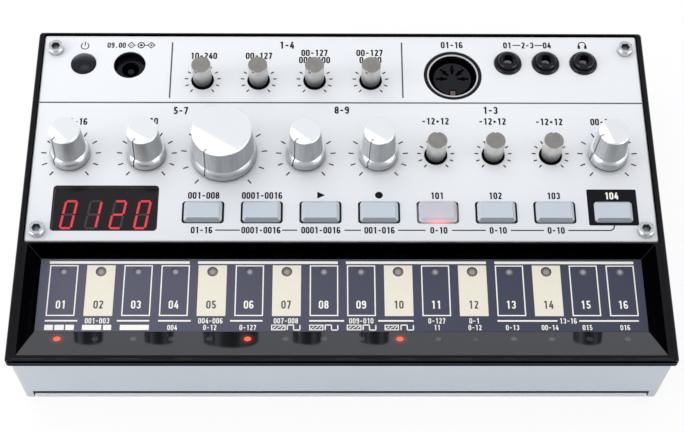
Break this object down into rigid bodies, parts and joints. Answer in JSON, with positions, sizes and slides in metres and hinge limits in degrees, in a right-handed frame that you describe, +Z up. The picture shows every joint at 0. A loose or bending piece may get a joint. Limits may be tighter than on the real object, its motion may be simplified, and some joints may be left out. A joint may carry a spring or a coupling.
{
  "type": "analog bass synthesizer",
  "caption": "Compact desktop analog bass synthesizer: a silver case with a black bezel, a white control panel with knobs, buttons, sockets and a red display, and a sloped touch keyboard.",
  "frame": {"origin": "middle of the outline seen from above, on the surface that the rubber feet stand on", "axes": "+X to the player's right, +Y away from the player towards the sockets, +Z up out of the panel"},
  "size_m": [0.193, 0.115, 0.045],
  "materials": {
    "case": "satin",
    "bezel": "gloss",
    "panel": "satin",
    "screw_bright": "polished",
    "screw_steel": "satin",
    "foot": "matte",
    "keyboard": "gloss",
    "key_lamp": "satin",
    "circuit_board": "satin",
    "step_lamp": "gloss",
    "step_lamp_lit": "glowing",
    "window": "gloss",
    "display_block": "satin",
    "ribbon": "satin",
    "switch": "satin",
    "button_lamp": "gloss",
    "socket_black": "gloss",
    "socket_metal": "polished",
    "pot": "satin",
    "speaker_metal": "satin",
    "speaker_paper": "matte",
    "cell": "satin",
    "contact": "satin",
    "cover": "satin",
    "power_button": "gloss",
    "knob": "satin",
    "knob_large": "satin",
    "shaft": "satin",
    "clear_knob": "gloss",
    "button": "satin",
    "button_lit": "satin"
  },
  "bodies": {
    "body": {"bottom_case": "case", "top_bezel": "bezel", "front_panel": "panel", "panel_screws": "screw_bright", "case_screws": "screw_steel", "rubber_feet": "foot", "keyboard_plate": "keyboard", "key_lamps": "key_lamp", "key_board": "circuit_board", "step_lamps": "step_lamp", "step_lamps_lit": "step_lamp_lit", "display_window": "window", "led_display": "display_block", "control_board": "circuit_board", "ribbon_cable": "ribbon", "tact_switches": "switch", "button_lamps": "button_lamp", "dc_inlet": "socket_black", "din_socket": "socket_black", "din_shell": "socket_metal", "sync_in_jack": "socket_black", "sync_out_jack": "socket_black", "headphone_jack": "socket_black", "jack_contacts": "socket_metal", "knob_pots": "pot", "clear_knob_pots": "pot", "speaker_frame": "speaker_metal", "speaker_cone": "speaker_paper", "battery_cells": "cell", "battery_contacts": "contact"},
    "octave_knob": {"knob_octave": "knob", "shaft_octave": "shaft"},
    "peak_knob": {"knob_peak": "knob", "shaft_peak": "shaft"},
    "cutoff_knob": {"knob_cutoff": "knob_large", "shaft_cutoff": "shaft"},
    "lfo_rate_knob": {"knob_lfo_rate": "knob", "shaft_lfo_rate": "shaft"},
    "lfo_depth_knob": {"knob_lfo_depth": "knob", "shaft_lfo_depth": "shaft"},
    "volume_knob": {"knob_volume": "knob", "shaft_volume": "shaft"},
    "tempo_clear_knob": {"clear_knob_tempo": "clear_knob"},
    "attack_clear_knob": {"clear_knob_attack": "clear_knob"},
    "decay_clear_knob": {"clear_knob_decay": "clear_knob"},
    "cutoff_amount_clear_knob": {"clear_knob_cutoff_amount": "clear_knob"},
    "pitch_1_clear_knob": {"clear_knob_pitch_1": "clear_knob"},
    "pitch_2_clear_knob": {"clear_knob_pitch_2": "clear_knob"},
    "pitch_3_clear_knob": {"clear_knob_pitch_3": "clear_knob"},
    "button_1": {"button_1": "button"},
    "button_2": {"button_2": "button"},
    "button_3": {"button_3": "button"},
    "button_4": {"button_4": "button"},
    "button_5": {"button_5": "button_lit"},
    "button_6": {"button_6": "button"},
    "button_7": {"button_7": "button"},
    "button_8": {"button_8": "button"},
    "power_button": {"power_button": "power_button"},
    "battery_cover": {"battery_cover": "cover"}
  },
  "joints": [
    {"name": "octave_turn", "type": "hinge", "parent": "body", "child": "octave_knob", "pos_m": [-0.08295, 0.0117, 0.031], "axis": [0, 0, -1], "range_deg": [-17, 283]},
    {"name": "peak_turn", "type": "hinge", "parent": "body", "child": "peak_knob", "pos_m": [-0.0597, 0.0117, 0.031], "axis": [0, 0, -1], "range_deg": [-5, 295]},
    {"name": "cutoff_turn", "type": "hinge", "parent": "body", "child": "cutoff_knob", "pos_m": [-0.03605, 0.012, 0.031], "axis": [0, 0, -1], "range_deg": [-3, 297]},
    {"name": "lfo_rate_turn", "type": "hinge", "parent": "body", "child": "lfo_rate_knob", "pos_m": [-0.01096, 0.0117, 0.031], "axis": [0, 0, -1], "range_deg": [-10, 290]},
    {"name": "lfo_depth_turn", "type": "hinge", "parent": "body", "child": "lfo_depth_knob", "pos_m": [0.01127, 0.0117, 0.031], "axis": [0, 0, -1], "range_deg": [-4, 296]},
    {"name": "volume_turn", "type": "hinge", "parent": "body", "child": "volume_knob", "pos_m": [0.08175, 0.0117, 0.031], "axis": [0, 0, -1], "range_deg": [-40, 260]},
    {"name": "tempo_turn", "type": "hinge", "parent": "body", "child": "tempo_clear_knob", "pos_m": [-0.04368, 0.0394, 0.031], "axis": [0, 0, -1], "range_deg": [0, 300]},
    {"name": "attack_turn", "type": "hinge", "parent": "body", "child": "attack_clear_knob", "pos_m": [-0.02603, 0.0394, 0.031], "axis": [0, 0, -1], "range_deg": [0, 300]},
    {"name": "decay_turn", "type": "hinge", "parent": "body", "child": "decay_clear_knob", "pos_m": [-0.00838, 0.0394, 0.031], "axis": [0, 0, -1], "range_deg": [0, 300]},
    {"name": "cutoff_amount_turn", "type": "hinge", "parent": "body", "child": "cutoff_amount_clear_knob", "pos_m": [0.00927, 0.0394, 0.031], "axis": [0, 0, -1], "range_deg": [0, 300]},
    {"name": "pitch_1_turn", "type": "hinge", "parent": "body", "child": "pitch_1_clear_knob", "pos_m": [0.02895, 0.012, 0.031], "axis": [0, 0, -1], "range_deg": [-150, 150]},
    {"name": "pitch_2_turn", "type": "hinge", "parent": "body", "child": "pitch_2_clear_knob", "pos_m": [0.0466, 0.012, 0.031], "axis": [0, 0, -1], "range_deg": [-150, 150]},
    {"name": "pitch_3_turn", "type": "hinge", "parent": "body", "child": "pitch_3_clear_knob", "pos_m": [0.06425, 0.012, 0.031], "axis": [0, 0, -1], "range_deg": [-150, 150]},
    {"name": "button_1_press", "type": "slide", "parent": "body", "child": "button_1", "axis": [0, 0, -1], "range_m": [0, 0.0006], "stiffness_N_per_m": 600, "springref_m": -0.0004},
    {"name": "button_2_press", "type": "slide", "parent": "body", "child": "button_2", "axis": [0, 0, -1], "range_m": [0, 0.0006], "stiffness_N_per_m": 600, "springref_m": -0.0004},
    {"name": "button_3_press", "type": "slide", "parent": "body", "child": "button_3", "axis": [0, 0, -1], "range_m": [0, 0.0006], "stiffness_N_per_m": 600, "springref_m": -0.0004},
    {"name": "button_4_press", "type": "slide", "parent": "body", "child": "button_4", "axis": [0, 0, -1], "range_m": [0, 0.0006], "stiffness_N_per_m": 600, "springref_m": -0.0004},
    {"name": "button_5_press", "type": "slide", "parent": "body", "child": "button_5", "axis": [0, 0, -1], "range_m": [0, 0.0006], "stiffness_N_per_m": 600, "springref_m": -0.0004},
    {"name": "button_6_press", "type": "slide", "parent": "body", "child": "button_6", "axis": [0, 0, -1], "range_m": [0, 0.0006], "stiffness_N_per_m": 600, "springref_m": -0.0004},
    {"name": "button_7_press", "type": "slide", "parent": "body", "child": "button_7", "axis": [0, 0, -1], "range_m": [0, 0.0006], "stiffness_N_per_m": 600, "springref_m": -0.0004},
    {"name": "button_8_press", "type": "slide", "parent": "body", "child": "button_8", "axis": [0, 0, -1], "range_m": [0, 0.0006], "stiffness_N_per_m": 600, "springref_m": -0.0004},
    {"name": "power_button_press", "type": "slide", "parent": "body", "child": "power_button", "axis": [0, 0, -1], "range_m": [0, 0.0006], "stiffness_N_per_m": 600, "springref_m": -0.0004},
    {"name": "battery_cover_slide", "type": "slide", "parent": "body", "child": "battery_cover", "axis": [0, -1, 0], "range_m": [0, 0.005]}
  ]
}
